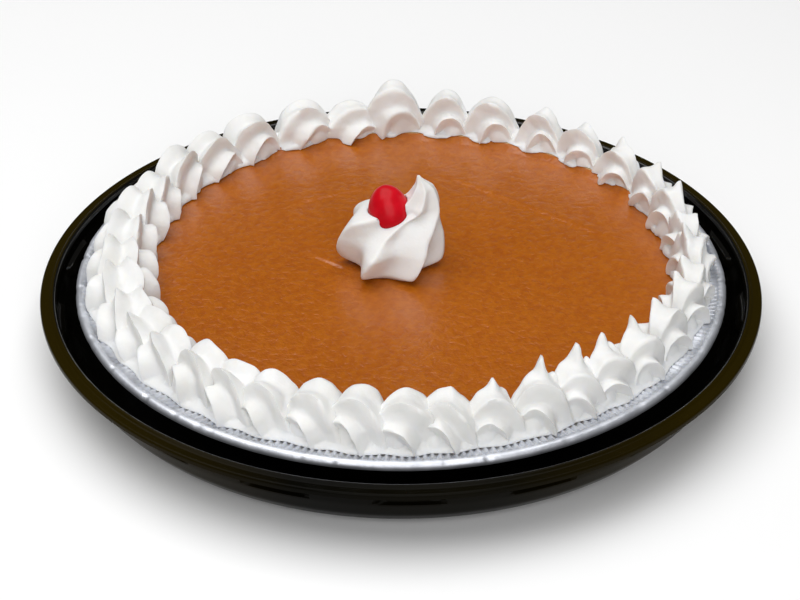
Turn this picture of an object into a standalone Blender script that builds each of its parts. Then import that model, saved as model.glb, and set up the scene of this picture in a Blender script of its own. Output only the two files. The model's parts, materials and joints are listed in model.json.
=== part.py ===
"""Guava pie with a piped cream border, a cream rosette and a cherry, in its foil pan and black plastic tray.

Blender 4.5 script, in metres, +Z up. The origin is the centre of the tray's underside and -Y is the front.
Run it with: blender --background --python part.py
"""

import math
import random

import bmesh
import bpy
from mathutils import Vector

MM = 0.001
GAP = 0.3 * MM  # clearance kept between pieces that touch

# Tray: a thermoformed shell with fluted walls, a flange and lock slots.
TRAY_RADIUS = 140.8 * MM
TRAY_HEIGHT = 25.5 * MM
TRAY_WALL = 1.0 * MM
TRAY_STEPS = 72
WALL_RADIUS = 135.0 * MM
FOOT_RADIUS = 119.0 * MM
FLUTE_DEPTH = 0.4 * MM
FLUTED_ROWS = ((126.2 * MM, 4.6 * MM), (129.8 * MM, 9.2 * MM))
SLOT_COUNT = 18
SLOT_LENGTH = 24.0 * MM
SLOT_HEIGHT = 4.6 * MM
SLOT_DEPTH = 1.8 * MM
SLOT_SLOPE = math.radians(0.9)
SLOT_Z = 18.0 * MM
SLOT_START = math.radians(-88.6)

# Foil pan: thin sheet with a sloping wall, a lip and a rolled edge.
PAN_RADIUS = 127.0 * MM
PAN_FLOOR_RADIUS = 97.0 * MM
PAN_FLOOR_Z = 3.2 * MM
PAN_TOP = 27.4 * MM
PAN_SHEET = 0.6 * MM
PAN_STEPS = 44
BEAD_RADIUS = 1.8 * MM
LIP_INNER_RADIUS = 115.2 * MM
LIP_INNER_Z = 24.0 * MM
LIP_OUTER_Z = 25.2 * MM

# Pie: the filling and the pastry under it, with a low rim that the cream covers.
FILLING_TOP = 24.0 * MM
FILLING_RADIUS = 111.0 * MM
FILLING_MIDDLE = 70.0 * MM
RIM_INNER_RADIUS = 113.6 * MM
RIM_OUTER_RADIUS = 116.2 * MM
RIM_FOOT_RADIUS = 117.0 * MM
RIM_TOP = 25.8 * MM
RIM_FOOT_Z = 25.5 * MM

# Cream border: shells piped side by side with a star tip, on a low base.
SHELL_COUNT = 38
SHELL_FINS = 6
SHELL_SECTIONS = 7
SHELL_HEIGHT = 20.5 * MM
SHELL_WIDTH = 22.5 * MM
SHELL_EXTRA_WIDTH = 4.0 * MM
SHELL_LENGTH = 19.0 * MM
SHELL_PIVOT_DEPTH = 9.0 * MM
SHELL_CROWDING = 0.13
INNER_SPIKE = 7.7 * MM
OUTER_SPIKE = 5.5 * MM
SPIKES = ((1 / 2, 1.0), (1 / 3, 0.6))  # place along the shell, and share of the full height
SPIKE_WIDTH = 0.05
SPIKE_SHARPNESS = 16
RIDGE_BLUNTNESS = 0.10
SPREAD_FADE = 0.94
BORDER_OUTSIDE = 122.8 * MM
BORDER_BACK_SHIFT = 6.5 * MM
BORDER_FRONT_INSET = 2.0 * MM
TALL_SHELL = 19
TALL_SHELL_SCALE = 1.18
CORE_SPREAD = 0.90
CORE_INNER_RADIUS = 110.2 * MM
CORE_LOW = 20.0 * MM
CORE_EDGE = 27.2 * MM
CORE_TOP = 31.0 * MM
BORDER_SEED = 11

# Rosette and cherry.
ROSETTE_CENTRE = Vector((-4.0 * MM, 7.0 * MM, FILLING_TOP + GAP))
ROSETTE_RADIUS = 21.0 * MM
ROSETTE_HEIGHT = 38.5 * MM
ROSETTE_FINS = 6
ROSETTE_START = math.radians(-8)
ROSETTE_TWIST = 1.0
CHERRY_DIAMETER = 17.0 * MM
CHERRY_LENGTH = 22.5 * MM
CHERRY_TAPER = 0.10
CHERRY_LEAN = (math.radians(-8), math.radians(-6), 0.0)
CHERRY_PLACE = ROSETTE_CENTRE + Vector((-0.5 * MM, 1.0 * MM, 22.6 * MM))
CHERRY_STEPS = 14
CHERRY_ROWS = 9

CREAM = ((0.90, 0.89, 0.86, 1.0), 0.55, 0.0)
FINISHES = {
    "tray": ((0.008, 0.007, 0.006, 1.0), 0.18, 0.0),
    "foil_pan": ((0.78, 0.79, 0.81, 1.0), 0.35, 1.0),
    "filling": ((0.45, 0.13, 0.012, 1.0), 0.30, 0.0),
    "cream_border": CREAM,
    "cream_rosette": CREAM,
    "cherry": ((0.50, 0.008, 0.015, 1.0), 0.12, 0.0),
}


def clear_scene():
    for obj in list(bpy.data.objects):
        bpy.data.objects.remove(obj)


def new_collection(name):
    collection = bpy.data.collections.new(name)
    bpy.context.scene.collection.children.link(collection)
    return collection


def finish(obj):
    """Gives a sub-part its own material and smooth shading."""
    colour, roughness, metallic = FINISHES[obj.name]
    material = bpy.data.materials.new(obj.name)
    material.use_nodes = True
    shader = material.node_tree.nodes["Principled BSDF"]
    shader.inputs["Base Color"].default_value = colour
    shader.inputs["Roughness"].default_value = roughness
    shader.inputs["Metallic"].default_value = metallic
    obj.data.materials.clear()
    obj.data.materials.append(material)
    obj.data.shade_smooth()
    obj.data.set_sharp_from_angle(angle=math.radians(35))
    return obj


def bake(obj):
    """Replaces a mesh by what its modifiers make of it."""
    bpy.context.view_layer.update()
    graph = bpy.context.evaluated_depsgraph_get()
    mesh = bpy.data.meshes.new_from_object(obj.evaluated_get(graph))
    obj.modifiers.clear()
    obj.data = mesh
    return obj


def mesh_object(name, collection, points, edges, faces):
    mesh = bpy.data.meshes.new(name)
    mesh.from_pydata(points, edges, faces)
    obj = bpy.data.objects.new(name, mesh)
    collection.objects.link(obj)
    return obj


def turned(name, collection, profile, steps):
    """A solid of revolution. The profile is (radius, height) points, down the outer side and back up the inner."""
    points = [(radius, 0.0, height) for radius, height in profile]
    pairs = [(i, (i + 1) % len(points)) for i in range(len(points))]
    edges = [(i, j) for i, j in pairs if profile[i][0] > 0 or profile[j][0] > 0]
    obj = mesh_object(name, collection, points, edges, [])
    screw = obj.modifiers.new("Turn", "SCREW")
    screw.axis = "Z"
    screw.angle = math.tau
    screw.steps = screw.render_steps = steps
    screw.use_merge_vertices = True
    screw.merge_threshold = 1e-6
    return bake(obj)


def loft(name, collection, sections):
    """A closed skin over rings of equal point counts, with flat ends."""
    count = len(sections[0])
    points = [tuple(point) for section in sections for point in section]
    faces = []
    for row in range(len(sections) - 1):
        for i in range(count):
            j = (i + 1) % count
            low, high = row * count, (row + 1) * count
            faces.append((low + i, low + j, high + j, high + i))
    faces.append(tuple(reversed(range(count))))
    faces.append(tuple(range((len(sections) - 1) * count, len(sections) * count)))
    return mesh_object(name, collection, points, [], faces)


def combine(obj, tools, operation):
    """One applied Boolean of a collection on an object. The tools are then removed."""
    boolean = obj.modifiers.new(operation.title(), "BOOLEAN")
    boolean.operation = operation
    boolean.operand_type = "COLLECTION"
    boolean.collection = tools
    boolean.solver = "MANIFOLD"
    bake(obj)
    for tool in list(tools.objects):
        bpy.data.objects.remove(tool)
    bpy.data.collections.remove(tools)
    return obj


def keep_outer_skin(obj):
    """Fills sealed pockets and drops scraps: only the largest skin of joined faces stays."""
    skin = bmesh.new()
    skin.from_mesh(obj.data)
    bmesh.ops.triangulate(skin, faces=skin.faces)
    unseen = set(skin.faces)
    largest = set()
    while unseen:
        group, edge = set(), [unseen.pop()]
        while edge:
            face = edge.pop()
            group.add(face)
            near = {other for side in face.edges for other in side.link_faces} & unseen
            unseen -= near
            edge.extend(near)
        largest = max(largest, group, key=len)
    spare = [face for face in skin.faces if face not in largest]
    bmesh.ops.delete(skin, geom=spare, context="FACES")
    skin.to_mesh(obj.data)
    skin.free()
    return obj


def arc(centre, radius, start, end, count):
    """Points on a circle in the profile plane, from one angle to another, in degrees."""
    angles = [math.radians(start + (end - start) * i / (count - 1)) for i in range(count)]
    return [(centre[0] + radius * math.cos(a), centre[1] + radius * math.sin(a)) for a in angles]


def smooth(edge0, edge1, x):
    t = min(1.0, max(0.0, (x - edge0) / (edge1 - edge0)))
    return t * t * (3 - 2 * t)


# ---------------------------------------------------------------- tray


def tray_profile():
    """Flange with a raised bead along its inner edge, slotted upper wall, rounded foot and flat floor."""
    top = TRAY_HEIGHT
    high, low = SLOT_Z + SLOT_HEIGHT / 2, SLOT_Z - SLOT_HEIGHT / 2
    flange = [
        (135.1 * MM, top + 0.3 * MM),
        (136.2 * MM, top + 0.7 * MM),
        (137.6 * MM, top - 0.1 * MM),
        (TRAY_RADIUS - 0.4 * MM, top - 0.1 * MM),
        (TRAY_RADIUS, top - 2.2 * MM),
    ]
    outside = [
        (WALL_RADIUS + 0.8 * MM, top - 1.7 * MM),
        (WALL_RADIUS + 0.3 * MM, high + 0.3 * MM),
        (WALL_RADIUS + 0.2 * MM, high - 0.3 * MM),
        (WALL_RADIUS - 1.0 * MM, low + 0.3 * MM),
        (WALL_RADIUS - 1.2 * MM, low - 0.3 * MM),
        (130.8 * MM, 8.6 * MM),
        (127.0 * MM, 3.8 * MM),
        (FOOT_RADIUS, 0.0),
        (0.0, 0.0),
    ]
    inside = [
        (0.0, TRAY_WALL),
        (FOOT_RADIUS - 0.6 * MM, TRAY_WALL),
        *FLUTED_ROWS,
        (WALL_RADIUS - TRAY_WALL - 1.0 * MM, low),
        (WALL_RADIUS - TRAY_WALL, high),
    ]
    return flange + outside + inside


def press_slots(obj):
    """Sinks the lock slots into the upper wall. Four columns of the wall meet each slot: two ends, two outside."""
    columns = TRAY_STEPS // SLOT_COUNT
    first = round(SLOT_START / math.tau * TRAY_STEPS - (columns - 1) / 2)
    reach = SLOT_LENGTH / 2 / WALL_RADIUS
    high, low = SLOT_Z + SLOT_HEIGHT / 2, SLOT_Z - SLOT_HEIGHT / 2
    places = (-reach - SLOT_SLOPE, -reach, reach, reach + SLOT_SLOPE)
    for vertex in obj.data.vertices:
        radius = math.hypot(vertex.co.x, vertex.co.y)
        band = low - 1.0 * MM < vertex.co.z < high + 1.0 * MM
        if not band or radius > WALL_RADIUS + 0.5 * MM:
            continue
        column = round(math.atan2(vertex.co.y, vertex.co.x) / math.tau * TRAY_STEPS)
        slot, place = divmod(column - first, columns)
        angle = SLOT_START + math.tau * slot / SLOT_COUNT + places[place]
        sunk = place in (1, 2) and low - 0.1 * MM < vertex.co.z < high + 0.1 * MM
        radius -= SLOT_DEPTH if sunk else 0.0
        vertex.co.x = radius * math.cos(angle)
        vertex.co.y = radius * math.sin(angle)


def flute_wall(obj):
    """Pushes every other column of the inner wall in and out, which gives its upright panels."""
    for vertex in obj.data.vertices:
        radius = math.hypot(vertex.co.x, vertex.co.y)
        if min(abs(vertex.co.z - height) for _, height in FLUTED_ROWS) > 0.1 * MM:
            continue
        column = round(math.atan2(vertex.co.y, vertex.co.x) / math.tau * TRAY_STEPS)
        scale = 1.0 + (FLUTE_DEPTH if column % 2 else -FLUTE_DEPTH) / radius
        vertex.co.x *= scale
        vertex.co.y *= scale


def make_tray(parts):
    tray = turned("tray", parts, tray_profile(), TRAY_STEPS)
    press_slots(tray)
    flute_wall(tray)
    return finish(tray)


# ---------------------------------------------------------------- pan and pie


def pan_line(lift):
    """The pan's inner face, from the lip's outer edge to the axis, raised by lift."""
    return [
        (PAN_RADIUS - 2 * BEAD_RADIUS, LIP_OUTER_Z + lift),
        (LIP_INNER_RADIUS + 1.0 * MM, LIP_INNER_Z + lift),
        (LIP_INNER_RADIUS - 0.5 * MM, LIP_INNER_Z - 1.4 * MM + lift),
        (PAN_FLOOR_RADIUS + 1.6 * MM, PAN_FLOOR_Z + 1.8 * MM + lift),
        (PAN_FLOOR_RADIUS - 1.0 * MM, PAN_FLOOR_Z + lift),
        (0.0, PAN_FLOOR_Z + lift),
    ]


def make_pan(parts):
    centre = (PAN_RADIUS - BEAD_RADIUS, PAN_TOP - BEAD_RADIUS)
    bead = arc(centre, BEAD_RADIUS, 150, -160, 7)
    under = pan_line(0.0)
    over = list(reversed(pan_line(PAN_SHEET)))
    pan = turned("foil_pan", parts, bead + under + over, PAN_STEPS)
    return finish(pan)


def make_filling(parts):
    """The guava filling and the pastry under it, in one solid that fills the pan up to its rim on the lip."""
    top = [
        (0.0, FILLING_TOP),
        (FILLING_MIDDLE, FILLING_TOP),
        (FILLING_RADIUS, FILLING_TOP),
        (RIM_INNER_RADIUS, RIM_TOP),
        (RIM_OUTER_RADIUS, RIM_TOP),
        (RIM_FOOT_RADIUS, RIM_FOOT_Z),
    ]
    return finish(turned("filling", parts, top + pan_line(PAN_SHEET + GAP)[1:], PAN_STEPS))


def seat_cutter(name, collection):
    """Everything below the top of the filling and the pan, with the gap that pieces on them keep."""
    outside = 1.2 * PAN_RADIUS
    profile = [
        (0.0, FILLING_TOP + GAP),
        (FILLING_RADIUS - 0.2 * MM, FILLING_TOP + GAP),
        (RIM_INNER_RADIUS - 0.1 * MM, RIM_TOP + GAP),
        (RIM_OUTER_RADIUS + 0.3 * MM, RIM_TOP + GAP),
        (RIM_FOOT_RADIUS + 1.0 * MM, LIP_INNER_Z + 1.5 * MM),
        (PAN_RADIUS - 2 * BEAD_RADIUS - 0.6 * MM, LIP_OUTER_Z + 1.1 * MM),
        (PAN_RADIUS - BEAD_RADIUS, PAN_TOP + GAP),
        (outside, PAN_TOP + GAP),
        (outside, 0.0),
        (0.0, 0.0),
    ]
    return turned(name, collection, profile, PAN_STEPS)


# ---------------------------------------------------------------- piped cream


def star(theta, fins, depth, phase):
    """Outline of a star tip: narrow ridges with round hollows between them, 1 on a ridge."""
    swing = math.sin(fins * (theta - phase) / 2)
    blunt = math.hypot(swing, RIDGE_BLUNTNESS) - RIDGE_BLUNTNESS
    return 1.0 - depth * blunt


def shell_plan(i, rng):
    """Place, size and habit of the shell at index i, going round from the front."""
    share = math.tau * (i + rng.uniform(-0.16, 0.16)) / SHELL_COUNT
    angle = share - SHELL_CROWDING * math.sin(share)
    right, back = math.sin(angle), -math.cos(angle)
    front, behind = smooth(0.0, 1.0, -back), smooth(0.0, 1.0, back)
    width = SHELL_WIDTH * (1.0 - 0.19 * right - 0.15 * behind)
    width += SHELL_EXTRA_WIDTH * smooth(0.2, 0.7, right) * front
    outside = BORDER_OUTSIDE + BORDER_BACK_SHIFT * behind - BORDER_FRONT_INSET * front
    tall = TALL_SHELL_SCALE if i == TALL_SHELL else rng.uniform(0.92, 1.08)
    inner_spike = INNER_SPIKE * smooth(0.02, 0.4, right) * smooth(-0.35, 0.2, -back)
    outer_spike = OUTER_SPIKE * smooth(0.12, 0.5, right) * smooth(-0.05, 0.45, back)
    return {
        "angle": angle,
        "radius": outside - width / 2 + rng.uniform(-0.6, 0.6) * MM,
        "width": width * rng.uniform(0.95, 1.05),
        "height": SHELL_HEIGHT * tall * (1.0 + 0.05 * behind),
        "length": SHELL_LENGTH * (1.0 + 0.12 * back - 0.10 * right) * rng.uniform(0.92, 1.10),
        "twist": rng.uniform(-0.40, 0.10),
        "yaw": rng.uniform(-0.12, 0.12),
        "groove": rng.uniform(0.34, 0.48),
        "inner_spike": inner_spike * rng.uniform(0.3, 1.0),
        "outer_spike": outer_spike * rng.uniform(0.2, 1.0),
    }


def spike_lift(plan, share, side):
    """How far a point is drawn up: the two ridges next to the crest end in small peaks."""
    peak = max(high * math.exp(-(((share - place) / SPIKE_WIDTH) ** 2)) for place, high in SPIKES)
    inner = max(0.0, math.cos(side + math.pi / SHELL_FINS)) ** SPIKE_SHARPNESS
    outer = max(0.0, math.cos(side - math.pi / SHELL_FINS)) ** SPIKE_SHARPNESS
    return peak * (plan["inner_spike"] * inner + plan["outer_spike"] * outer)


def shell_ring(plan, share, around, frame):
    """One section of a shell, from its blunt head (share 0) to its tail (share 1)."""
    pivot, ahead, across = frame
    up = Vector((0.0, 0.0, 1.0))
    head, tail = 1.0 - smooth(0.0, 0.45, share), smooth(0.50, 1.0, share)
    fan = math.radians(4 + 142 * share)
    top = plan["height"] + SHELL_PIVOT_DEPTH
    reach = top * (1.0 - 0.06 * head - 0.22 * tail)
    thick = 0.485 * reach * (1.0 - 0.25 * tail)
    wide = plan["width"] / 2 * (1.0 - 0.04 * head) * (1.0 - 0.42 * tail)
    stretch = plan["length"] / top
    away = ahead * math.cos(fan) * stretch + up * math.sin(fan)
    centre = pivot + away * (reach - thick)
    spread = 1.18 - 0.62 * smooth(0.15, 0.95, share)
    ring = []
    for j in range(around):
        side = math.pi - math.tau * j / around
        fade = min(1.0, (math.pi - abs(side)) / SPREAD_FADE)
        turn = side * (1.0 + (spread - 1.0) * fade) + plan["twist"] * (share - 0.5)
        crest = 0.3 if abs(side) < math.pi / SHELL_FINS else 1.0
        size = star(side, SHELL_FINS, plan["groove"] * (1.0 - 0.5 * tail) * crest, math.pi / SHELL_FINS)
        point = centre + across * (wide * size * math.sin(turn)) + away * (thick * size * math.cos(turn))
        ring.append(point + up * spike_lift(plan, share, side))
    return ring


def shell_sections(plan, count, around):
    """Sections of one shell: planes that fan about a low radial line, from the blunt head round to the tail."""
    angle, yaw = plan["angle"], plan["yaw"]
    outward = Vector((math.sin(angle), -math.cos(angle), 0.0))
    along = Vector((math.cos(angle), math.sin(angle), 0.0))
    ahead = along * math.cos(yaw) + outward * math.sin(yaw)
    across = outward * math.cos(yaw) - along * math.sin(yaw)
    pivot = outward * plan["radius"] + Vector((0.0, 0.0, FILLING_TOP + GAP - SHELL_PIVOT_DEPTH))
    return [shell_ring(plan, k / (count - 1), around, (pivot, ahead, across)) for k in range(count)]


def core_ring(collection, plans):
    """The low ring of cream under the shells, which covers the rim of the pie."""
    points = []
    for plan in plans:
        reach = CORE_SPREAD * plan["width"] / 2
        inner = min(plan["radius"] - reach, CORE_INNER_RADIUS)
        outer = plan["radius"] + reach
        corners = (
            (inner, CORE_LOW),
            (outer, CORE_LOW),
            (outer, CORE_EDGE),
            (plan["radius"], CORE_TOP),
            (inner, CORE_EDGE),
        )
        for radius, height in corners:
            points.append((radius * math.sin(plan["angle"]), -radius * math.cos(plan["angle"]), height))
    count, total = len(corners), len(points)
    faces = []
    for row in range(0, total, count):
        for i in range(count):
            j, ahead = (i + 1) % count, (row + count) % total
            faces.append((row + i, ahead + i, ahead + j, row + j))
    return mesh_object("cream_border", collection, points, [], faces)


def make_border(parts):
    """One ring of cream: the shells joined on a low core, cut to lie on what carries them."""
    rng = random.Random(BORDER_SEED)
    plans = [shell_plan(i, rng) for i in range(SHELL_COUNT)]
    border = core_ring(parts, plans)
    shells = new_collection("shells")
    for i, plan in enumerate(plans):
        loft(f"shell_{i}", shells, shell_sections(plan, SHELL_SECTIONS, 2 * SHELL_FINS))
    combine(border, shells, "UNION")
    seat = new_collection("seat")
    seat_cutter("border_seat", seat)
    combine(border, seat, "DIFFERENCE")
    return finish(keep_outer_skin(border))


def rosette_sections(around):
    """Level rings of the rosette: wide ridged lobes at the base, drawn up to a leaning peak on the right."""
    rings = (
        # height, radius, shift to the right, shift to the back, ridge depth
        (0.00, 0.72, 0.00, 0.00, 0.22),
        (0.06, 0.96, 0.00, 0.00, 0.34),
        (0.16, 1.03, 0.00, 0.00, 0.38),
        (0.30, 1.00, 0.02, 0.00, 0.38),
        (0.42, 0.92, 0.06, 0.04, 0.36),
        (0.52, 0.74, 0.24, 0.08, 0.30),
        (0.66, 0.46, 0.52, 0.08, 0.28),
        (0.86, 0.22, 0.62, 0.08, 0.24),
        (1.00, 0.03, 0.52, 0.08, 0.10),
    )
    sections = []
    for height, radius, right, back, depth in rings:
        centre = ROSETTE_CENTRE + Vector((right * ROSETTE_RADIUS, back * ROSETTE_RADIUS, height * ROSETTE_HEIGHT))
        phase = ROSETTE_START + ROSETTE_TWIST * height
        ring = []
        for j in range(around):
            theta = math.tau * j / around
            size = ROSETTE_RADIUS * radius * star(theta + phase, ROSETTE_FINS, depth, phase)
            ring.append(centre + Vector((size * math.cos(theta + phase), size * math.sin(theta + phase), 0.0)))
        sections.append(ring)
    return sections


def cherry_profile(grow):
    half, radius = CHERRY_LENGTH / 2 + grow, CHERRY_DIAMETER / 2 + grow
    points = []
    for i in range(CHERRY_ROWS):
        a = math.pi / 2 - math.pi * i / (CHERRY_ROWS - 1)
        taper = 1.0 - CHERRY_TAPER * math.sin(a)
        points.append((radius * taper * max(0.0, math.cos(a)), half * math.sin(a)))
    points[0] = (0.0, half)
    points[-1] = (0.0, -half)
    return points


def place_cherry(obj):
    obj.rotation_euler = CHERRY_LEAN
    obj.location = CHERRY_PLACE
    return obj


def make_rosette(parts):
    rosette = loft("cream_rosette", parts, rosette_sections(4 * ROSETTE_FINS))
    hollow = new_collection("hollow")
    place_cherry(turned("cherry_hollow", hollow, cherry_profile(GAP), CHERRY_STEPS))
    return finish(combine(rosette, hollow, "DIFFERENCE"))


def make_cherry(parts):
    return finish(place_cherry(turned("cherry", parts, cherry_profile(0.0), CHERRY_STEPS)))


def main():
    clear_scene()
    parts = new_collection("guava_pie")
    make_tray(parts)
    make_pan(parts)
    make_filling(parts)
    make_border(parts)
    make_rosette(parts)
    make_cherry(parts)


main()
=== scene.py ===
import json
import math
import random

import bmesh
import bpy
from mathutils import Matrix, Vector, noise

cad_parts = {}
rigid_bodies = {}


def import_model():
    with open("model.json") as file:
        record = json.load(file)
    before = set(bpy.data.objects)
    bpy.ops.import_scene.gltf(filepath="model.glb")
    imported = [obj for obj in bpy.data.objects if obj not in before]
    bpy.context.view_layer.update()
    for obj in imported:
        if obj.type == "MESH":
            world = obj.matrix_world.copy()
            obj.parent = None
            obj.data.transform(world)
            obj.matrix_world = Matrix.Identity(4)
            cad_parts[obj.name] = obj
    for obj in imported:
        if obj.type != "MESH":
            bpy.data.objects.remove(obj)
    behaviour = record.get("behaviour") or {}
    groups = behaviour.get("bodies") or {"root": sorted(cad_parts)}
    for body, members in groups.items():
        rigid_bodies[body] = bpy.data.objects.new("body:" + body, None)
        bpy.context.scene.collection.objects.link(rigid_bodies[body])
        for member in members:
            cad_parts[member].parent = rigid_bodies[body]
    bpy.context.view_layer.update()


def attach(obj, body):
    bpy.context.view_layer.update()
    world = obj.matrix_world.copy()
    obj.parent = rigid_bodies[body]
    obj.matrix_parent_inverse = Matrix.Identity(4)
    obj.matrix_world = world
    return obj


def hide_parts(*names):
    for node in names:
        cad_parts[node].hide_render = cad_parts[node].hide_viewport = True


# Looks of the guava pie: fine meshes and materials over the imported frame, a pale studio and a camera.
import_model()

MM = 0.001
GAP = 0.3 * MM
UP = Vector((0.0, 0.0, 1.0))

# Sizes repeated from the part's source.
TRAY_RADIUS = 140.8 * MM
TRAY_HEIGHT = 25.5 * MM
TRAY_WALL = 1.0 * MM
WALL_RADIUS = 135.0 * MM
FOOT_RADIUS = 119.0 * MM
SLOT_COUNT = 18
SLOT_LENGTH = 24.0 * MM
SLOT_HEIGHT = 4.6 * MM
SLOT_DEPTH = 1.8 * MM
SLOT_Z = 18.0 * MM
SLOT_START = math.radians(-88.6)
PAN_RADIUS = 127.0 * MM
PAN_FLOOR_RADIUS = 97.0 * MM
PAN_FLOOR_Z = 3.2 * MM
PAN_TOP = 27.4 * MM
PAN_SHEET = 0.6 * MM
BEAD_RADIUS = 1.8 * MM
LIP_INNER_RADIUS = 115.2 * MM
LIP_INNER_Z = 24.0 * MM
LIP_OUTER_Z = 25.2 * MM
FILLING_TOP = 24.0 * MM
FILLING_RADIUS = 111.0 * MM
RIM_INNER_RADIUS = 113.6 * MM
RIM_OUTER_RADIUS = 116.2 * MM
RIM_FOOT_RADIUS = 117.0 * MM
RIM_TOP = 25.8 * MM
RIM_FOOT_Z = 25.5 * MM
SHELL_COUNT = 38
SHELL_FINS = 6
SHELL_HEIGHT = 20.5 * MM
SHELL_WIDTH = 22.5 * MM
SHELL_EXTRA_WIDTH = 4.0 * MM
SHELL_LENGTH = 19.0 * MM
SHELL_PIVOT_DEPTH = 9.0 * MM
SHELL_CROWDING = 0.13
INNER_SPIKE = 7.7 * MM
OUTER_SPIKE = 5.5 * MM
SPIKES = ((1 / 2, 1.0), (1 / 3, 0.6))  # place along the shell, and share of the full height
SPIKE_WIDTH = 0.05
SPIKE_SHARPNESS = 16
RIDGE_BLUNTNESS = 0.10
SPREAD_FADE = 0.94
BORDER_OUTSIDE = 122.8 * MM
BORDER_BACK_SHIFT = 6.5 * MM
BORDER_FRONT_INSET = 2.0 * MM
TALL_SHELL = 19
TALL_SHELL_SCALE = 1.18
CORE_SPREAD = 0.90
CORE_INNER_RADIUS = 110.2 * MM
CORE_LOW = 20.0 * MM
CORE_EDGE = 27.2 * MM
CORE_TOP = 31.0 * MM
BORDER_SEED = 11
ROSETTE_CENTRE = Vector((-4.0 * MM, 7.0 * MM, FILLING_TOP + GAP))
ROSETTE_RADIUS = 21.0 * MM
ROSETTE_HEIGHT = 38.5 * MM
ROSETTE_FINS = 6
ROSETTE_START = math.radians(-8)
ROSETTE_TWIST = 1.0
CHERRY_DIAMETER = 17.0 * MM
CHERRY_LENGTH = 22.5 * MM
CHERRY_TAPER = 0.10
CHERRY_LEAN = (math.radians(-8), math.radians(-12), 0.0)
CHERRY_PLACE = ROSETTE_CENTRE + Vector((-0.5 * MM, 1.0 * MM, 22.6 * MM))

# Fineness of the meshes.
TRAY_COLUMNS = 432
PAN_COLUMNS = 1440
PAN_CRIMPS = 288
PIE_COLUMNS = 720
SEAT_COLUMNS = 288
SHELL_SECTIONS = 40
SHELL_AROUND = 72
ROSETTE_AROUND = 120
ROSETTE_LEVELS = 60
CHERRY_ROWS = 33
CHERRY_COLUMNS = 64
CORE_STEPS = 10

# Where the three parts of an uneven push are read in the noise.
WOBBLE_OFFSETS = (Vector((0.0, 0.0, 0.0)), Vector((31.7, 11.3, 5.1)), Vector((-17.9, 43.1, 23.3)))

# Tray: flutes in the inner wall, and the soft edge of the slots.
FLUTE_COUNT = 36
FLUTE_DEPTH = 0.35 * MM
FLUTE_STEEPNESS = 2.5
FLUTE_FOOT = (3.0 * MM, 6.0 * MM)
FLUTE_HEAD = (11.0 * MM, 14.0 * MM)
SLOT_EDGE = (-0.7 * MM, 0.4 * MM)
TRAY_FLOOR_RADIUS = 127.0 * MM

# Foil pan: radial crimps on the lip, dents in the rolled edge.
CRIMP_HEIGHT = 0.50 * MM
CRIMP_DRIFT = 0.8
CRIMP_DRIFT_COUNT = 7
EDGE_WAVES = 9.0
EDGE_UNEVENNESS = 0.15 * MM
DENT_WAVES = 3.1
DENT_START = 0.15
DENT_DEPTH = 0.6 * MM
BEAD_POINTS = 20

# Relief of the filling's skin: amount, squeeze in x and in y, place in the noise, pitch.
FILLING_WAVES = (
    (0.10 * MM, 1.0, 1.6, 0.0, 34.0 * MM),
    (0.06 * MM, 1.0, 2.4, 3.0 * MM, 8.0 * MM),
    (0.05 * MM, 0.45, 1.0, 9.0 * MM, 2.3 * MM),
)
FILLING_SINK = 0.22 * MM
FILLING_EDGE_FADE = 3.0 * MM
FILLING_STEP = 1.2 * MM

# Creases in the filling's skin: ends in x, height in y at the middle, slope and bend.
CREASE_HEIGHT = 0.28 * MM
CREASE_FADE = 12.0 * MM
CREASE_EDGE = 0.8 * MM
CREASE_REACH = 7.0 * MM
CREASES = (
    (-52.0 * MM, -2.0 * MM, 74.0 * MM, 0.454, 0.6),
    (14.0 * MM, 88.0 * MM, 93.0 * MM, -0.783, 0.0),
    (-40.0 * MM, -1.0 * MM, -13.5 * MM, -0.742, 0.0),
)

# Shells of the border. Shares of a shell's own size, unless a unit is given.
PLACE_JITTER = 0.16
NARROWER_RIGHT = 0.19
NARROWER_BEHIND = 0.15
TALL_JITTER = (0.92, 1.08)
TALL_SHELL_BEHIND = 0.05
OTHERS_BEHIND = -0.06
HEIGHT_TRIMS = {18: 1.07, 20: 0.80, 21: 0.96}
LONGER_FRONT = -0.12
SHORTER_BEHIND = 0.05
SHORTER_RIGHT = 0.10
HEAD_ANGLE = 4
FAN_ANGLE = 142
SHELL_ROUGHNESS = ((11.0 * MM, 1.5 * MM), (3.2 * MM, 0.25 * MM))  # pitch and amount

# Base band of the border: how far it draws back between the shells and round the ring.
CORE_OUTER_SPREAD = 0.92
CORE_INNER_NOTCH = 2.4 * MM
CORE_BACK_RETREAT = 1.8 * MM
CORE_BACK_EVENING = 0.9 * MM
CORE_RIGHT_RETREAT = 0.9 * MM
CORE_OUTER_NOTCH = 1.3 * MM
CORE_EDGE_DROP = 0.8 * MM
CORE_BACK_DROP = 0.6 * MM
CORE_PHASE = 0.2
CORE_ROUGHNESS = (4.0 * MM, 0.5 * MM)

# Rosette: level rings from the foot to the peak.
ROSETTE_ROWS = (
    # height, radius, shift to the right, shift to the back, ridge depth
    (0.00, 0.72, 0.00, 0.00, 0.22),
    (0.06, 0.96, 0.00, 0.00, 0.34),
    (0.16, 1.03, 0.00, 0.00, 0.38),
    (0.30, 1.03, 0.00, 0.00, 0.36),
    (0.42, 0.98, 0.01, 0.02, 0.32),
    (0.53, 0.82, 0.17, 0.06, 0.28),
    (0.66, 0.46, 0.52, 0.08, 0.28),
    (0.86, 0.22, 0.62, 0.08, 0.24),
    (1.00, 0.03, 0.52, 0.08, 0.10),
)
ROSETTE_LEFT = math.radians(183)
ROSETTE_LEFT_FILL = 0.8
ROSETTE_NOTCH = math.radians(262)
ROSETTE_NOTCH_DEPTH = 0.30
ROSETTE_ROUGHNESS = (12.0 * MM, 0.9 * MM)
CHERRY_FOOT_TAPER = 0.12

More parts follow.
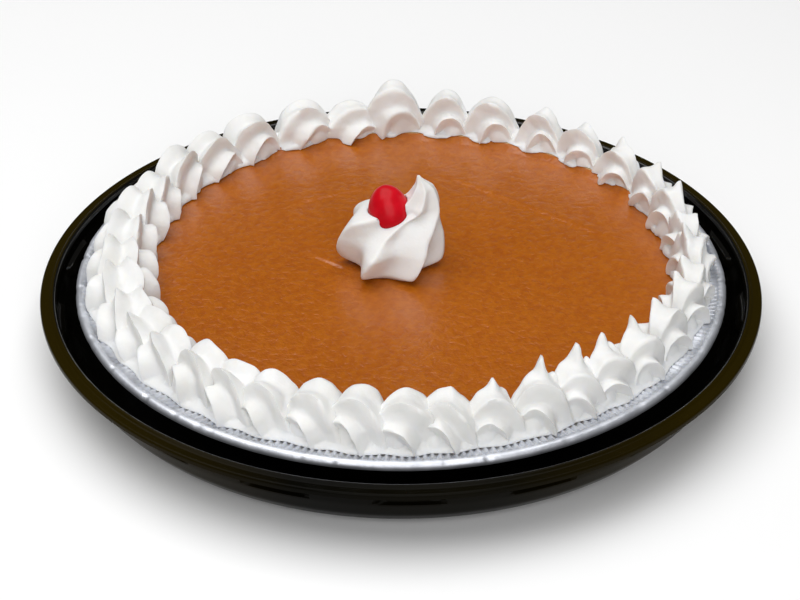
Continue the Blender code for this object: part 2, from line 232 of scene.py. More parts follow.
# Light: a dim pale room, a wide soft light overhead and one from the viewer's side.
WORLD_STRENGTH = 0.07
LIGHTS = (
    # name, place, size, power
    ("soft_top", (-0.20, 0.05, 1.35), 1.7, 22.0),
    ("soft_front", (0.1, -2.0, 1.3), 2.0, 30.0),
)

# Camera.
ELEVATION = math.radians(32.0)
DISTANCE = 0.718
FOCAL_PIXELS = 1817.0
IMAGE_WIDTH = 800.0
TARGET = Vector((0.0, 0.0, TRAY_HEIGHT))
SHIFT_X_PIXELS = -1.0
SHIFT_Y_PIXELS = -31.0
FLOOR_HALF = 4.0
FLOOR_DROP = 0.2 * MM

# Colours, all linear.
CREAM_SHADE, CREAM_LIGHT = (0.765, 0.762, 0.742), (0.815, 0.815, 0.808)
GUAVA_DARK, GUAVA_LIGHT = (0.365, 0.088, 0.0004), (0.415, 0.105, 0.0008)
# Painted shade in the grooves of the filling's fine wrinkles, and painted highlight on their crests.
GUAVA_GROOVE_SHADE, GUAVA_CREST_HIGHLIGHT = (0.300, 0.062, 0.0003), (0.455, 0.131, 0.0012)
GUAVA_SPECK = (0.18, 0.035, 0.006)
PASTRY = (0.62, 0.40, 0.18)
CHERRY_DARK, CHERRY_LIGHT = (0.50, 0.002, 0.008), (0.66, 0.006, 0.018)
FOIL_DARK, FOIL_LIGHT = (0.60, 0.62, 0.67), (0.75, 0.77, 0.82)
INSIDE_DARK, INSIDE_LIGHT = (0.0012, 0.0012, 0.0012), (0.0030, 0.0026, 0.0016)
# Painted olive reflection on the left and right flanks of the tray's inner faces.
INSIDE_FLANK_REFLECTION = (0.0020, 0.0017, 0.0010)
OUTSIDE_DARK, OUTSIDE_LIGHT = (0.0020, 0.0018, 0.0010), (0.0040, 0.0032, 0.0010)
# Painted olive reflection on the left and right flanks of the tray's outer faces.
OUTSIDE_FLANK_REFLECTION = (0.0150, 0.0100, 0.0004)
ROOM = (1.0, 0.995, 0.985)


def smooth(edge0, edge1, x):
    t = min(1.0, max(0.0, (x - edge0) / (edge1 - edge0)))
    return t * t * (3 - 2 * t)


# ---------------------------------------------------------------- mesh helpers


def mesh_object(name, points, faces, collection=None):
    mesh = bpy.data.meshes.new(name)
    mesh.from_pydata(points, [], faces)
    obj = bpy.data.objects.new(name, mesh)
    (collection or bpy.context.scene.collection).objects.link(obj)
    return obj


def face_outwards(obj):
    mesh = bmesh.new()
    mesh.from_mesh(obj.data)
    bmesh.ops.recalc_face_normals(mesh, faces=mesh.faces)
    mesh.to_mesh(obj.data)
    mesh.free()
    return obj


def revolve(name, profile, columns, place=None, collection=None):
    """A closed solid of revolution. place(radius, height, angle) may move each point."""
    points, starts = [], []
    for radius, height in profile:
        starts.append(len(points))
        if radius == 0.0:
            points.append((0.0, 0.0, height))
            continue
        for i in range(columns):
            angle = math.tau * i / columns
            r, z = place(radius, height, angle) if place else (radius, height)
            points.append((r * math.cos(angle), r * math.sin(angle), z))
    faces = []
    for row in range(len(profile)):
        after = (row + 1) % len(profile)
        a, b = starts[row], starts[after]
        axis_a, axis_b = profile[row][0] == 0.0, profile[after][0] == 0.0
        for i in range(columns):
            j = (i + 1) % columns
            if axis_a and axis_b:
                break
            if axis_a:
                faces.append((a, b + i, b + j))
            elif axis_b:
                faces.append((a + i, b, a + j))
            else:
                faces.append((a + i, b + i, b + j, a + j))
    return face_outwards(mesh_object(name, points, faces, collection))


def refine(profile, step):
    """Adds points along a profile so that no stretch is longer than step."""
    fine = []
    for (r0, z0), (r1, z1) in zip(profile, profile[1:]):
        count = max(1, math.ceil(math.hypot(r1 - r0, z1 - z0) / step))
        fine += [(r0 + (r1 - r0) * i / count, z0 + (z1 - z0) * i / count) for i in range(count)]
    return fine + [profile[-1]]


def relax(profile, times):
    """Rounds a profile's corners and keeps its ends."""
    for _ in range(times):
        inner = [
            ((a[0] + 2 * b[0] + c[0]) / 4, (a[1] + 2 * b[1] + c[1]) / 4)
            for a, b, c in zip(profile, profile[1:], profile[2:])
        ]
        profile = [profile[0]] + inner + [profile[-1]]
    return profile


def loft(name, collection, sections):
    count = len(sections[0])
    points = [tuple(point) for section in sections for point in section]
    faces = []
    for row in range(len(sections) - 1):
        for i in range(count):
            j = (i + 1) % count
            low, high = row * count, (row + 1) * count
            faces.append((low + i, low + j, high + j, high + i))
    faces.append(tuple(reversed(range(count))))
    faces.append(tuple(range((len(sections) - 1) * count, len(sections) * count)))
    return mesh_object(name, points, faces, collection)


def bake(obj):
    bpy.context.view_layer.update()
    graph = bpy.context.evaluated_depsgraph_get()
    mesh = bpy.data.meshes.new_from_object(obj.evaluated_get(graph))
    obj.modifiers.clear()
    obj.data = mesh
    return obj


def new_collection(name):
    collection = bpy.data.collections.new(name)
    bpy.context.scene.collection.children.link(collection)
    return collection


def combine(obj, tools, operation):
    boolean = obj.modifiers.new(operation.title(), "BOOLEAN")
    boolean.operation = operation
    boolean.operand_type = "COLLECTION"
    boolean.collection = tools
    boolean.solver = "MANIFOLD"
    bake(obj)
    for tool in list(tools.objects):
        bpy.data.objects.remove(tool)
    bpy.data.collections.remove(tools)
    return obj


def keep_outer_skin(obj):
    """Fills sealed pockets and drops scraps: only the largest skin of joined faces stays."""
    skin = bmesh.new()
    skin.from_mesh(obj.data)
    bmesh.ops.triangulate(skin, faces=skin.faces)
    unseen = set(skin.faces)
    largest = set()
    while unseen:
        group, edge = set(), [unseen.pop()]
        while edge:
            face = edge.pop()
            group.add(face)
            near = {other for side in face.edges for other in side.link_faces} & unseen
            unseen -= near
            edge.extend(near)
        largest = max(largest, group, key=len)
    spare = [face for face in skin.faces if face not in largest]
    bmesh.ops.delete(skin, geom=spare, context="FACES")
    skin.to_mesh(obj.data)
    skin.free()
    return obj


def wobble(point, pitch, amount, seed):
    """A smooth uneven push, the same each time for the same point."""
    here = point / pitch + Vector((seed, seed, seed))
    return Vector([noise.noise(here + offset) for offset in WOBBLE_OFFSETS]) * amount


def stand_for(obj, node, material, sharp=40):
    """The piece takes a node's place, finish and body."""
    obj.data.materials.clear()
    obj.data.materials.append(material)
    obj.data.shade_smooth()
    obj.data.set_sharp_from_angle(angle=math.radians(sharp))
    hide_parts(node)
    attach(obj, "root")
    return obj


# ---------------------------------------------------------------- material helpers


class Nodes:
    """Short ways to add and join shader nodes of one material."""

    def __init__(self, name):
        self.material = bpy.data.materials.new(name)
        self.material.use_nodes = True
        self.tree = self.material.node_tree
        self.shader = self.tree.nodes["Principled BSDF"]
        self.place = self.add("ShaderNodeTexCoord").outputs["Object"]

    def add(self, kind, **settings):
        node = self.tree.nodes.new(kind)
        for key, value in settings.items():
            setattr(node, key, value)
        return node

    def join(self, source, target):
        self.tree.links.new(source, target)

    def set(self, **values):
        for key, value in values.items():
            self.shader.inputs[key.replace("_", " ")].default_value = value

    def pastry(self):
        """1 on the pastry round and under the filling, 0 on the filling."""
        split = self.add("ShaderNodeSeparateXYZ")
        self.join(self.place, split.inputs["Vector"])
        x, y, z = split.outputs
        round_it = self.math("ADD", self.math("MULTIPLY", x, x), self.math("MULTIPLY", y, y))
        outside = self.math("GREATER_THAN", round_it, (RIM_INNER_RADIUS + 1.0 * MM) ** 2)
        below = self.math("LESS_THAN", z, FILLING_TOP - 1.5 * MM)
        return self.math("MAXIMUM", outside, below)

    def stretch(self, scale):
        mapping = self.add("ShaderNodeMapping")
        mapping.inputs["Scale"].default_value = scale
        self.join(self.place, mapping.inputs["Vector"])
        return mapping.outputs["Vector"]

    def noise(self, scale, detail=4.0, vector=None, distortion=0.0):
        node = self.add("ShaderNodeTexNoise")
        node.inputs["Scale"].default_value = scale
        node.inputs["Detail"].default_value = detail
        node.inputs["Distortion"].default_value = distortion
        self.join(vector or self.place, node.inputs["Vector"])
        return node.outputs["Fac"]

    def spots(self, scale, vector=None):
        node = self.add("ShaderNodeTexVoronoi")
        node.inputs["Scale"].default_value = scale
        self.join(vector or self.place, node.inputs["Vector"])
        return node.outputs["Distance"]

    def ramp(self, source, stops):
        node = self.add("ShaderNodeValToRGB")
        while len(node.color_ramp.elements) < len(stops):
            node.color_ramp.elements.new(0.5)
        for element, (place, colour) in zip(node.color_ramp.elements, stops):
            element.position = place
            element.color = (*colour, 1.0)
        self.join(source, node.inputs["Fac"])
        return node.outputs["Color"]

    def mix(self, factor, first, second):
        node = self.add("ShaderNodeMix", data_type="RGBA")
        self.feed(factor, node.inputs["Factor"])
        self.feed(first, node.inputs[6])  # A and B of the colour kind
        self.feed(second, node.inputs[7])
        return node.outputs[2]

    def feed(self, value, socket):
        """Joins a socket, or sets a plain number or colour."""
        if isinstance(value, bpy.types.NodeSocket):
            self.join(value, socket)
        elif isinstance(value, tuple):
            socket.default_value = (*value, 1.0)
        else:
            socket.default_value = value

    def math(self, operation, first, second):
        node = self.add("ShaderNodeMath", operation=operation)
        self.feed(first, node.inputs[0])
        self.feed(second, node.inputs[1])
        return node.outputs["Value"]

    def bump(self, height, strength, distance, after=None):
        node = self.add("ShaderNodeBump")
        node.inputs["Strength"].default_value = strength
        node.inputs["Distance"].default_value = distance
        self.join(height, node.inputs["Height"])
        if after:
            self.join(after, node.inputs["Normal"])
        return node.outputs["Normal"]


def grey(value):
    return (value, value, value)


def cream_material(name):
    n = Nodes(name)
    tone = n.noise(60.0, 3.0)
    colour = n.ramp(tone, [(0.30, CREAM_SHADE), (0.70, CREAM_LIGHT)])
    n.join(colour, n.shader.inputs["Base Color"])
    n.set(Roughness=0.62, Subsurface_Weight=0.35, Subsurface_Scale=0.003, Specular_IOR_Level=0.3)
    n.shader.inputs["Subsurface Radius"].default_value = (1.0, 0.85, 0.65)
    soft = n.bump(n.noise(230.0, 3.0), 0.25, 0.0006)
    n.join(n.bump(n.spots(900.0), 0.12, 0.0003, soft), n.shader.inputs["Normal"])
    return n.material


def filling_material():
    n = Nodes("guava_filling")
    broad = n.noise(14.0, 3.0)
    fine = n.noise(1.0, 5.0, n.stretch((400.0, 400.0, 360.0)), 0.3)
    base = n.ramp(broad, [(0.30, GUAVA_DARK), (0.70, GUAVA_LIGHT)])
    # Colours on the same fine noise as the wrinkles' bump: painted shade in its grooves, painted highlight on
    # its crests.
    relief_shade_and_highlight = n.ramp(fine, [(0.35, GUAVA_GROOVE_SHADE), (0.65, GUAVA_CREST_HIGHLIGHT)])
    # Random broad tone mixed with the painted shade and highlight of the wrinkles.
    tone_with_relief_light = n.mix(0.40, base, relief_shade_and_highlight)
    specks = n.ramp(n.spots(240.0), [(0.05, grey(1.0)), (0.11, grey(0.0))])
    kept = n.ramp(n.noise(90.0, 2.0), [(0.60, grey(0.0)), (0.66, grey(1.0))])
    amount = n.math("MULTIPLY", n.math("MULTIPLY", specks, kept), 0.35)
    flesh = n.mix(amount, tone_with_relief_light, GUAVA_SPECK)
    n.join(n.mix(n.pastry(), flesh, PASTRY), n.shader.inputs["Base Color"])
    n.join(n.ramp(broad, [(0.3, grey(0.17)), (0.7, grey(0.25))]), n.shader.inputs["Roughness"])
    n.set(Subsurface_Weight=0.05, Subsurface_Scale=0.002, Specular_IOR_Level=0.40, Coat_Weight=0.45)
    n.set(Coat_Roughness=0.20)
    n.shader.inputs["Subsurface Radius"].default_value = (1.0, 0.35, 0.1)
    wrinkles = n.bump(fine, 0.60, 0.0009)
    n.join(n.bump(n.noise(150.0, 3.0), 0.2, 0.0008, wrinkles), n.shader.inputs["Normal"])
    return n.material


def cherry_material():
    n = Nodes("candied_cherry")
    tone = n.ramp(n.noise(120.0, 3.0), [(0.3, CHERRY_DARK), (0.7, CHERRY_LIGHT)])
    n.join(tone, n.shader.inputs["Base Color"])
    n.set(Roughness=0.30, Subsurface_Weight=0.15, Subsurface_Scale=0.002, Specular_IOR_Level=0.14)
    n.set(Coat_Weight=0.05, Coat_Roughness=0.05)
    n.shader.inputs["Subsurface Radius"].default_value = (1.0, 0.1, 0.05)
    n.join(n.bump(n.noise(260.0, 2.0), 0.18, 0.0006), n.shader.inputs["Normal"])
    return n.material


def foil_material():
    n = Nodes("crimped_foil")
    tone = n.ramp(n.noise(180.0, 3.0), [(0.3, FOIL_DARK), (0.7, FOIL_LIGHT)])
    n.join(tone, n.shader.inputs["Base Color"])
    rough = n.ramp(n.noise(75.0, 3.0), [(0.3, grey(0.42)), (0.7, grey(0.56))])
    n.join(rough, n.shader.inputs["Roughness"])
    n.set(Metallic=0.85)
    n.join(n.bump(n.noise(500.0, 3.0), 0.3, 0.0004), n.shader.inputs["Normal"])
    return n.material


def tray_material(name, colours, roughness, gloss):
    """Black plastic, with a painted olive reflection on its left and right flanks, as in the photo."""
    dark, light, flank_reflection = colours
    n = Nodes(name)
    split = n.add("ShaderNodeSeparateXYZ")
    n.join(n.place, split.inputs["Vector"])
    sideways = n.math("ABSOLUTE", split.outputs["X"], 0.0)
    # Mask of the painted olive reflection: 0 at the middle of the tray, rising to 1 towards its left and
    # right flanks.
    flank_reflection_mask = n.ramp(n.math("MULTIPLY", sideways, 1 / TRAY_RADIUS), [(0.25, grey(0.0)), (0.75, grey(1.0))])
    body = n.ramp(n.noise(9.0, 2.0), [(0.35, dark), (0.65, light)])
    n.join(n.mix(flank_reflection_mask, body, flank_reflection), n.shader.inputs["Base Color"])
    rough = n.ramp(n.noise(40.0, 3.0), [(0.3, grey(roughness[0])), (0.7, grey(roughness[1]))])
    n.join(rough, n.shader.inputs["Roughness"])
    n.set(Specular_IOR_Level=gloss)
    n.join(n.bump(n.noise(30.0, 2.0), 0.12, 0.0015), n.shader.inputs["Normal"])
    return n.material


# ---------------------------------------------------------------- tray, pan and pie


def slot_depth(angle, height):
    """How deep the wall is sunk at a point: stadium-shaped slots with soft edges."""
    pitch = math.tau / SLOT_COUNT
    away = (angle - SLOT_START + pitch / 2) % pitch - pitch / 2
    along = max(0.0, abs(away) * WALL_RADIUS - (SLOT_LENGTH - SLOT_HEIGHT) / 2)
    edge = math.hypot(along, height - SLOT_Z) - SLOT_HEIGHT / 2
    return SLOT_DEPTH * (1.0 - smooth(*SLOT_EDGE, edge))


def place_tray(radius, height, angle):
    """Sinks the slots into the wall and flutes its inner side."""
    band = SLOT_Z - SLOT_HEIGHT < height < SLOT_Z + SLOT_HEIGHT and radius < WALL_RADIUS + 0.6 * MM
    sunk = slot_depth(angle, height) if band else 0.0
    flute = FLUTE_DEPTH * smooth(*FLUTE_FOOT, height) * (1.0 - smooth(*FLUTE_HEAD, height))
    inner = radius < tray_outer_radius(height) - TRAY_WALL / 2
    swing = math.cos(angle * FLUTE_COUNT) * FLUTE_STEEPNESS
    panel = flute * max(-1.0, min(1.0, swing)) if inner else 0.0
    return radius - sunk + panel, height


def tray_outside():
    top = TRAY_HEIGHT
    return [
        (WALL_RADIUS + 0.8 * MM, top - 1.7 * MM),
        (WALL_RADIUS + 0.3 * MM, SLOT_Z + 2.6 * MM),
        (WALL_RADIUS - 1.2 * MM, SLOT_Z - 2.6 * MM),
        (130.8 * MM, 8.6 * MM),
        (127.0 * MM, 3.8 * MM),
        (FOOT_RADIUS, 0.0),
    ]


def tray_outer_radius(height):
    points = tray_outside()
    for (r0, z0), (r1, z1) in zip(points, points[1:]):
        if z0 >= height >= z1:
            return r0 + (r1 - r0) * (z0 - height) / (z0 - z1)
    return WALL_RADIUS + 5.0 * MM if height > points[0][1] else FOOT_RADIUS


def make_tray():
    top = TRAY_HEIGHT
    flange = relax(refine([
        (WALL_RADIUS - TRAY_WALL + 0.3 * MM, top - 1.0 * MM),
        (135.1 * MM, top + 0.3 * MM),
        (136.2 * MM, top + 0.7 * MM),
        (137.4 * MM, top - 0.1 * MM),
        (TRAY_RADIUS - 0.4 * MM, top - 0.1 * MM),
        (TRAY_RADIUS, top - 0.7 * MM),
        (TRAY_RADIUS, top - 2.2 * MM),
    ], 0.4 * MM), 1)
    outside = relax(refine([(TRAY_RADIUS - 0.3 * MM, top - 2.2 * MM)] + tray_outside(), 0.7 * MM), 4)
    shell = [(r - TRAY_WALL, z) for r, z in tray_outside()[1:4]]
    inside = relax(refine(
        [(FOOT_RADIUS - 0.6 * MM, TRAY_WALL), (126.0 * MM, 4.6 * MM)] + shell[::-1], 0.7 * MM), 3)
    profile = flange + outside + [(0.0, 0.0), (0.0, TRAY_WALL)] + inside
    tray = revolve("tray_shell", profile, TRAY_COLUMNS, place_tray)
    inside = tray_material(
        "black_tray_inside", (INSIDE_DARK, INSIDE_LIGHT, INSIDE_FLANK_REFLECTION), (0.05, 0.10), gloss=0.45)
    outside = tray_material(
        "black_tray_outside", (OUTSIDE_DARK, OUTSIDE_LIGHT, OUTSIDE_FLANK_REFLECTION), (0.16, 0.24), gloss=0.03)
    stand_for(tray, "tray", outside, sharp=30)
    tray.data.materials.append(inside)
    for face in tray.data.polygons:
        radius = math.hypot(face.center.x, face.center.y)
        inwards = face.normal.x * face.center.x + face.normal.y * face.center.y < -0.15 * radius
        floor = face.normal.z > 0.8 and radius < TRAY_FLOOR_RADIUS
        face.material_index = int(floor or (inwards and face.center.z > TRAY_WALL))


def pan_line(lift):
    return [
        (PAN_RADIUS - 2 * BEAD_RADIUS, LIP_OUTER_Z + lift),
        (LIP_INNER_RADIUS + 1.0 * MM, LIP_INNER_Z + lift),
        (LIP_INNER_RADIUS - 0.5 * MM, LIP_INNER_Z - 1.4 * MM + lift),
        (PAN_FLOOR_RADIUS + 1.6 * MM, PAN_FLOOR_Z + 1.8 * MM + lift),
        (PAN_FLOOR_RADIUS - 1.0 * MM, PAN_FLOOR_Z + lift),
        (0.0, PAN_FLOOR_Z + lift),
    ]


def place_pan(radius, height, angle):
    """Fine radial crimps on the lip, and an uneven rolled edge."""
    lip = smooth(LIP_INNER_RADIUS, LIP_INNER_RADIUS + 2.0 * MM, radius)
    crimp = math.sin(angle * PAN_CRIMPS + CRIMP_DRIFT * math.sin(angle * CRIMP_DRIFT_COUNT))
    here = Vector((math.cos(angle), math.sin(angle), 0.0)) * EDGE_WAVES
    dent = max(0.0, noise.noise(here * DENT_WAVES) - DENT_START) * DENT_DEPTH
    uneven = noise.noise(here) * EDGE_UNEVENNESS - dent
    bead = smooth(PAN_RADIUS - 3.4 * MM, PAN_RADIUS - 2.4 * MM, radius)
    return radius + uneven * bead, height + lip * (1.0 - bead) * CRIMP_HEIGHT * crimp + bead * uneven


def make_pan():
    centre = (PAN_RADIUS - BEAD_RADIUS, PAN_TOP - BEAD_RADIUS)
    bead = []
    for i in range(BEAD_POINTS + 1):
        angle = math.radians(150 - 310 * i / BEAD_POINTS)
        bead.append((centre[0] + BEAD_RADIUS * math.cos(angle), centre[1] + BEAD_RADIUS * math.sin(angle)))
    under = refine(pan_line(0.0)[:-1], 3.0 * MM) + [(0.0, PAN_FLOOR_Z)]
    over = [(0.0, PAN_FLOOR_Z + PAN_SHEET)] + refine(pan_line(PAN_SHEET)[:-1], 3.0 * MM)[::-1]
    pan = revolve("foil_pie_pan", bead + under + over, PAN_COLUMNS, place_pan)
    stand_for(pan, "foil_pan", foil_material(), sharp=60)


def make_filling():
    """The guava filling, with shallow swells and creases, and the pastry rim that the cream covers."""
    flat = refine([(2.0 * MM, FILLING_TOP), (FILLING_RADIUS, FILLING_TOP)], FILLING_STEP)
    rim = [
        (RIM_INNER_RADIUS, RIM_TOP),
        (RIM_OUTER_RADIUS, RIM_TOP),
        (RIM_FOOT_RADIUS, RIM_FOOT_Z),
    ]

    profile = [(0.0, FILLING_TOP)] + flat + rim + pan_line(PAN_SHEET + GAP)[1:]
    filling = revolve("guava_filling_body", profile, PIE_COLUMNS, place_filling)
    stand_for(filling, "filling", filling_material(), sharp=50)


def place_filling(radius, height, angle):
    if height < FILLING_TOP or radius > FILLING_RADIUS:
        return radius, height
    edge = smooth(FILLING_RADIUS, FILLING_RADIUS - FILLING_EDGE_FADE, radius)
    return radius, height + edge * filling_relief(radius * math.cos(angle), radius * math.sin(angle))


def filling_relief(x, y):
    """Height of the filling's skin: swells, small sideways wrinkles, and three faint creases."""
    relief = -FILLING_SINK
    for amount, squeeze_x, squeeze_y, layer, pitch in FILLING_WAVES:
        relief += amount * noise.noise(Vector((x * squeeze_x, y * squeeze_y, layer)) / pitch)
    for x0, x1, y0, slope, bend in CREASES:
        along = smooth(x0, x0 + CREASE_FADE, x) * smooth(x1, x1 - CREASE_FADE, x)
        away = y - y0 - slope * x - bend * x * x
        step = math.tanh(away / CREASE_EDGE) * math.exp(-((away / CREASE_REACH) ** 2))
        relief += CREASE_HEIGHT * along * step
    return relief


def seat_cutter(collection):
    outside = 1.2 * PAN_RADIUS
    profile = [
        (0.0, FILLING_TOP + GAP),
        (FILLING_RADIUS - 0.2 * MM, FILLING_TOP + GAP),
        (RIM_INNER_RADIUS - 0.1 * MM, RIM_TOP + GAP),
        (RIM_OUTER_RADIUS + 0.3 * MM, RIM_TOP + GAP),
        (RIM_FOOT_RADIUS + 1.0 * MM, LIP_INNER_Z + 1.25 * MM),
        (PAN_RADIUS - 2 * BEAD_RADIUS - 0.6 * MM, LIP_OUTER_Z + 0.85 * MM),
        (PAN_RADIUS - BEAD_RADIUS, PAN_TOP + GAP),
        (outside, PAN_TOP + GAP),
        (outside, 0.0),
        (0.0, 0.0),
    ]
    return revolve("border_seat", profile, SEAT_COLUMNS, None, collection)


# ---------------------------------------------------------------- piped cream


def star(theta, fins, depth, phase):
    swing = math.sin(fins * (theta - phase) / 2)
    blunt = math.hypot(swing, RIDGE_BLUNTNESS) - RIDGE_BLUNTNESS
    return 1.0 - depth * blunt


def shell_plan(i, rng):
    """Place, size and habit of the shell at index i, going round from the front."""
    share = math.tau * (i + rng.uniform(-PLACE_JITTER, PLACE_JITTER)) / SHELL_COUNT
    angle = share - SHELL_CROWDING * math.sin(share)
    right, back = math.sin(angle), -math.cos(angle)
    front, behind = smooth(0.0, 1.0, -back), smooth(0.0, 1.0, back)
    width = SHELL_WIDTH * (1.0 - NARROWER_RIGHT * right - NARROWER_BEHIND * behind)
    width += SHELL_EXTRA_WIDTH * smooth(0.2, 0.7, right) * front
    outside = BORDER_OUTSIDE + BORDER_BACK_SHIFT * behind - BORDER_FRONT_INSET * front
    tall = TALL_SHELL_SCALE if i == TALL_SHELL else rng.uniform(*TALL_JITTER)
    tall *= HEIGHT_TRIMS.get(i, 1.0)
    tall *= 1.0 + (TALL_SHELL_BEHIND if i == TALL_SHELL else OTHERS_BEHIND) * behind
    long = 1.0 - LONGER_FRONT * min(back, 0.0) - SHORTER_BEHIND * behind - SHORTER_RIGHT * right
    inner_spike = INNER_SPIKE * smooth(0.02, 0.4, right) * smooth(-0.35, 0.2, -back)
    outer_spike = OUTER_SPIKE * smooth(0.60, 0.85, right) * smooth(-0.05, 0.45, back)
    return {
        "seed": 3.7 * i,
        "taper": 0.12 + 0.16 * smooth(0.1, 0.8, -right),
        "crest": 0.35 + 0.65 * smooth(0.15, 0.6, -right),
        "angle": angle,
        "radius": outside - width / 2 + rng.uniform(-0.6, 0.6) * MM,
        "width": width * rng.uniform(0.95, 1.05),
        "height": SHELL_HEIGHT * tall,
        "length": SHELL_LENGTH * long * rng.uniform(0.92, 1.10),
        "twist": rng.uniform(-0.40, 0.10),
        "yaw": rng.uniform(-0.12, 0.12),
        "groove": rng.uniform(0.34, 0.48),
        "inner_spike": inner_spike * rng.uniform(0.3, 1.0),
        "outer_spike": outer_spike * rng.uniform(0.2, 1.0),
    }


def spike_lift(plan, share, side):
    """How far a point is drawn up: the two ridges next to the crest end in small peaks."""
    peak = max(high * math.exp(-(((share - place) / SPIKE_WIDTH) ** 2)) for place, high in SPIKES)
    inner = max(0.0, math.cos(side + math.pi / SHELL_FINS)) ** SPIKE_SHARPNESS
    outer = max(0.0, math.cos(side - math.pi / SHELL_FINS)) ** SPIKE_SHARPNESS
    return peak * (plan["inner_spike"] * inner + plan["outer_spike"] * outer)


def shell_ring(plan, share, around, axes):
    """One section of a shell, from its blunt head (share 0) to its tail (share 1)."""
    pivot, ahead, across = axes
    head, tail = 1.0 - smooth(0.0, 0.45, share), smooth(0.50, 1.0, share)
    fan = math.radians(HEAD_ANGLE + FAN_ANGLE * share)
    top = plan["height"] + SHELL_PIVOT_DEPTH
    reach = top * (1.0 - 0.06 * head - 0.22 * tail)
    thick = 0.485 * reach * (1.0 - 0.25 * tail)
    wide = plan["width"] / 2 * (1.0 - plan["taper"] * head) * (1.0 - 0.42 * tail)
    stretch = plan["length"] / top
    away = ahead * math.cos(fan) * stretch + UP * math.sin(fan)
    centre = pivot + away * (reach - thick)
    spread = 1.18 - 0.62 * smooth(0.15, 0.95, share)
    ring = []
    for j in range(around):
        side = math.pi - math.tau * j / around
        fade = min(1.0, (math.pi - abs(side)) / SPREAD_FADE)
        turn = side * (1.0 + (spread - 1.0) * fade) + plan["twist"] * (share - 0.5)
        crest = plan["crest"] + (1.0 - plan["crest"]) * smooth(0.40, 0.62, abs(side))
        size = star(side, SHELL_FINS, plan["groove"] * (1.0 - 0.5 * tail) * crest, math.pi / SHELL_FINS)
        point = centre + across * (wide * size * math.sin(turn)) + away * (thick * size * math.cos(turn))
        point += UP * spike_lift(plan, share, side)
        pushes = [wobble(point, pitch, amount, plan["seed"]) for pitch, amount in SHELL_ROUGHNESS]
        ring.append(point + pushes[0] + pushes[1])
    return ring


def shell_sections(plan, count, around):
    angle, yaw = plan["angle"], plan["yaw"]
    outward = Vector((math.sin(angle), -math.cos(angle), 0.0))
    along = Vector((math.cos(angle), math.sin(angle), 0.0))
    ahead = along * math.cos(yaw) + outward * math.sin(yaw)
    across = outward * math.cos(yaw) - along * math.sin(yaw)
    pivot = outward * plan["radius"] + Vector((0.0, 0.0, FILLING_TOP + GAP - SHELL_PIVOT_DEPTH))
    return [shell_ring(plan, k / (count - 1), around, (pivot, ahead, across)) for k in range(count)]


def core_corners(inner, middle, outer, edge):
    """Section of the base: a low band with rounded shoulders, highest under the middle of the shells."""
    return (
        (inner, CORE_LOW),
        (outer, CORE_LOW),
        (outer, edge - 1.2 * MM),
        (outer - 0.5 * MM, edge - 0.3 * MM),
        (outer - 1.8 * MM, edge + 0.3 * MM),
        (middle, CORE_TOP),
        (inner + 1.8 * MM, edge + 0.3 * MM),
        (inner + 0.5 * MM, edge - 0.3 * MM),
        (inner, edge - 1.2 * MM),
    )


def core_ring(plans):
    """The low ring of cream under the shells, scalloped like them, which covers the rim of the pie."""
    rings = []
    last = {**plans[0], "angle": plans[0]["angle"] + math.tau}
    for plan, after in zip(plans, plans[1:] + [last]):
        for step in range(CORE_STEPS):
            t = step / CORE_STEPS
            angle, middle, width = (
                plan[key] + (after[key] - plan[key]) * t for key in ("angle", "radius", "width"))
            between = 0.5 - 0.5 * math.cos(math.tau * (t - CORE_PHASE))
            behind = smooth(0.0, 0.7, -math.cos(angle))
            inner = min(middle - CORE_SPREAD * width / 2, CORE_INNER_RADIUS) + CORE_INNER_NOTCH * between
            inner += behind * (CORE_BACK_RETREAT - CORE_BACK_EVENING * between)
            outer = middle + CORE_OUTER_SPREAD * width / 2
            outer -= CORE_RIGHT_RETREAT * math.sin(angle) + CORE_OUTER_NOTCH * between
            edge = CORE_EDGE - CORE_BACK_DROP * behind - CORE_EDGE_DROP * between
            corners = core_corners(inner, middle, outer, edge)
            rings.append([Vector((r * math.sin(angle), -r * math.cos(angle), z)) for r, z in corners])
    points = []
    for ring in rings:
        for point in ring:
            rise = smooth(CORE_LOW, CORE_EDGE - 2.0 * MM, point.z)
            points.append(point + wobble(point, *CORE_ROUGHNESS, 2.0) * rise)
    count, total = len(rings[0]), len(points)
    faces = []
    for row in range(0, total, count):
        for i in range(count):
            j, ahead = (i + 1) % count, (row + count) % total
            faces.append((row + i, ahead + i, ahead + j, row + j))
    return mesh_object("piped_border", points, faces)


def make_border(material):
    rng = random.Random(BORDER_SEED)
    plans = [shell_plan(i, rng) for i in range(SHELL_COUNT)]
    border = core_ring(plans)
    shells = new_collection("shells")
    for i, plan in enumerate(plans):
        loft(f"shell_{i}", shells, shell_sections(plan, SHELL_SECTIONS, SHELL_AROUND))
    combine(border, shells, "UNION")
    seat = new_collection("seat")
    seat_cutter(seat)
    combine(border, seat, "DIFFERENCE")
    stand_for(keep_outer_skin(border), "cream_border", material, sharp=75)


def spread_rows(rows, count):
    """Smoothly fills in a table of rows, each led by its height."""
    fine = []
    for k in range(count):
        height = k / (count - 1)
        at = next(i for i in range(len(rows) - 1) if rows[i + 1][0] >= height)
        before, low = rows[max(at - 1, 0)], rows[at]
        high, after = rows[at + 1], rows[min(at + 2, len(rows) - 1)]
        t = (height - low[0]) / (high[0] - low[0])
        values = [height]
        for a, b, c, d in zip(before[1:], low[1:], high[1:], after[1:]):
            cubic = 2 * a - 5 * b + 4 * c - d + t * (3 * (b - c) + d - a)
            values.append(b + 0.5 * t * (c - a + t * cubic))
        fine.append(values)
    return fine


